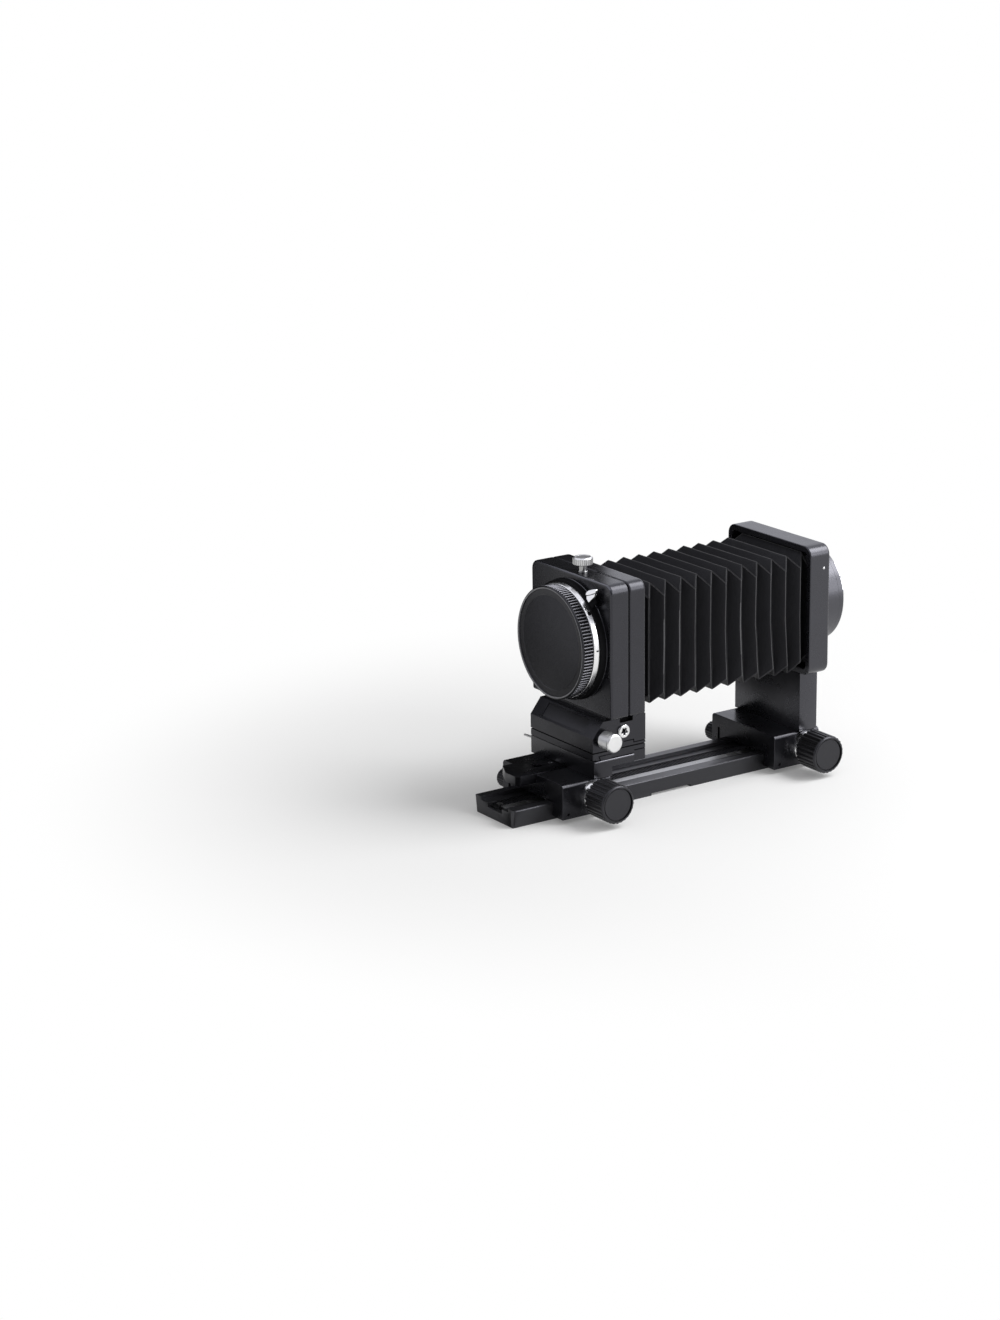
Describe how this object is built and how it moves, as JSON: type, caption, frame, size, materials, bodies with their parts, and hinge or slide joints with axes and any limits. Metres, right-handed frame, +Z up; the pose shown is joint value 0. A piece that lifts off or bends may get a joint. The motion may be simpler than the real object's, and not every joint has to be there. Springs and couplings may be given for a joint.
{
  "type": "macro bellows unit",
  "caption": "Bellows focusing unit: dovetail rail with two rack-driven carriages, a shifting and swinging lens panel, a pleated square bellows and a camera mount behind.",
  "frame": {"origin": "mouth of the tripod thread, in the middle of the rail's underside", "axes": "+Y along the rail from the lens end to the camera end, +X towards the focus knobs, +Z up"},
  "size_m": [0.0875, 0.215, 0.135],
  "materials": {
    "black_paint": "satin black enamel on aluminium",
    "black_anodised": "black anodised, satin",
    "chrome": "polished chrome",
    "knurled_silver": "bright satin, knurled",
    "black_rubber": "black knob moulding",
    "black_plastic": "black moulding",
    "cap_leatherette": "black, fine grained face",
    "bellows_cloth": "coated black bellows cloth",
    "steel": "machined steel",
    "brass": "turned brass",
    "scale_silver": "satin aluminium with plain numbers"
  },
  "bodies": {
    "rail": {"rail": "black_anodised", "tripod_bush": "steel", "rail_rack": "black_anodised", "scale_plate": "scale_silver", "rack_screw_front": "steel", "rack_screw_rear": "steel"},
    "front_carriage": {"front_carriage": "black_paint", "front_outer_bush": "brass", "front_inner_bush": "brass", "front_brake_pad": "brass", "tongue_plate": "black_paint", "tongue_screw": "chrome", "front_pedestal": "black_paint", "front_column_screw_left": "steel", "front_column_screw_right": "steel", "bellows_front_folds": "bellows_cloth"},
    "front_drive": {"front_shaft": "steel", "front_pinion": "steel", "front_knob_collar": "chrome", "front_focus_knob": "black_rubber"},
    "front_lock": {"front_lock_knob": "black_rubber", "front_lock_screw": "steel"},
    "shift_lock": {"shift_lock_lever": "chrome"},
    "shift_slide": {"shift_plate": "black_paint", "bellows_shift_fold": "bellows_cloth"},
    "lens_panel": {"swing_block": "black_paint", "swing_pivot": "steel", "name_panel": "black_plastic", "release_socket": "chrome", "front_slab": "black_paint", "rear_slab": "black_paint", "lens_mount_ring": "chrome", "bellows_front_frame": "black_plastic", "bellows_swing_fold": "bellows_cloth"},
    "swing_lock": {"swing_lock_knob": "knurled_silver"},
    "release_pin": {"release_plunger": "steel"},
    "diaphragm": {"diaphragm_lever": "steel"},
    "lens_release": {"lens_release_lever": "chrome"},
    "lens_lock": {"lens_lock_pin": "steel"},
    "top_clamp": {"top_clamp_screw": "knurled_silver"},
    "cap": {"body_cap": "cap_leatherette"},
    "rear_carriage": {"rear_carriage": "black_paint", "rear_outer_bush": "brass", "rear_inner_bush": "brass", "rear_brake_pad": "brass", "rear_column": "black_paint", "rear_frame": "black_paint", "frame_side_screw": "chrome", "rear_column_screw_left": "steel", "rear_column_screw_right": "steel", "bellows_rear_folds": "bellows_cloth", "bellows_rear_frame": "black_plastic"},
    "rear_drive": {"rear_shaft": "steel", "rear_pinion": "steel", "rear_knob_collar": "chrome", "rear_focus_knob": "black_rubber"},
    "rear_lock": {"rear_lock_knob": "black_rubber", "rear_lock_screw": "steel"},
    "camera_mount": {"mount_barrel": "black_anodised", "camera_mount_ring": "chrome"}
  },
  "joints": [
    {"name": "front_focus", "type": "slide", "parent": "rail", "child": "front_carriage", "axis": [0, 1, 0], "range_m": [-0.022, 0.022], "deforming": ["bellows_front_folds"]},
    {"name": "front_focus_knob_turn", "type": "hinge", "parent": "front_carriage", "child": "front_drive", "pos_m": [0, -0.0587, 0.0132], "axis": [1, 0, 0], "range_deg": [-195, 195]},
    {"name": "front_lock_turn", "type": "hinge", "parent": "front_carriage", "child": "front_lock", "pos_m": [-0.033, -0.0706, 0.0076], "axis": [-1, 0, 0], "range_deg": [-180, 15]},
    {"name": "shift_lock_swing", "type": "hinge", "parent": "front_carriage", "child": "shift_lock", "pos_m": [-0.022, -0.056, 0.0289], "axis": [0, 0, 1], "range_deg": [-20, 4]},
    {"name": "lens_shift", "type": "slide", "parent": "front_carriage", "child": "shift_slide", "axis": [1, 0, 0], "range_m": [-0.01, 0.01], "deforming": ["bellows_shift_fold"]},
    {"name": "lens_swing", "type": "hinge", "parent": "shift_slide", "child": "lens_panel", "pos_m": [0, -0.0415, 0.0355], "axis": [0, 0, 1], "range_deg": [-15, 15], "deforming": ["bellows_swing_fold"]},
    {"name": "swing_lock_turn", "type": "hinge", "parent": "lens_panel", "child": "swing_lock", "pos_m": [0.03, -0.053, 0.0424], "axis": [1, 0, 0], "range_deg": [-15, 180]},
    {"name": "diaphragm_turn", "type": "hinge", "parent": "lens_panel", "child": "diaphragm", "pos_m": [0, -0.0465, 0.0897], "axis": [0, -1, 0], "range_deg": [0, 25], "stiffness_Nm_per_rad": 0.02, "springref_deg": -11.46},
    {"name": "release_push", "type": "slide", "parent": "lens_panel", "child": "release_pin", "axis": [-1, 0, 0], "range_m": [0, 0.0041]},
    {"name": "lens_release_turn", "type": "hinge", "parent": "lens_panel", "child": "lens_release", "pos_m": [0, -0.0558, 0.0897], "axis": [0, -1, 0], "range_deg": [0, 8], "stiffness_Nm_per_rad": 0.05, "springref_deg": -11.46},
    {"name": "lens_lock_push", "type": "slide", "parent": "lens_panel", "child": "lens_lock", "axis": [0, 1, 0], "range_m": [0, 0.0015]},
    {"name": "top_clamp_turn", "type": "hinge", "parent": "lens_panel", "child": "top_clamp", "pos_m": [0.00275, -0.0472, 0.128], "axis": [0, 0, 1], "range_deg": [-15, 360]},
    {"name": "cap_turn", "type": "hinge", "parent": "lens_panel", "child": "cap", "pos_m": [0, -0.06, 0.0897], "axis": [0, -1, 0], "range_deg": [0, 60]},
    {"name": "rear_focus", "type": "slide", "parent": "rail", "child": "rear_carriage", "axis": [0, 1, 0], "range_m": [-0.025, 0.004], "deforming": ["bellows_rear_folds"]},
    {"name": "rear_focus_knob_turn", "type": "hinge", "parent": "rear_carriage", "child": "rear_drive", "pos_m": [0, 0.081, 0.0132], "axis": [1, 0, 0], "range_deg": [-36, 221]},
    {"name": "rear_lock_turn", "type": "hinge", "parent": "rear_carriage", "child": "rear_lock", "pos_m": [-0.033, 0.0691, 0.0076], "axis": [-1, 0, 0], "range_deg": [-180, 15]},
    {"name": "camera_mount_turn", "type": "hinge", "parent": "rear_carriage", "child": "camera_mount", "pos_m": [0, 0.088, 0.0897], "axis": [0, 1, 0], "range_deg": [-90, 90]}
  ],
  "couplings": [
    {"joint": "front_focus_knob_turn", "follows": "front_focus", "rad_per_m": -153.85},
    {"joint": "rear_focus_knob_turn", "follows": "rear_focus", "rad_per_m": -153.85},
    {"joint": "release_push", "follows": "diaphragm_turn", "m_per_rad": 0.009167},
    {"joint": "lens_lock_push", "follows": "lens_release_turn", "m_per_rad": 0.010027}
  ]
}
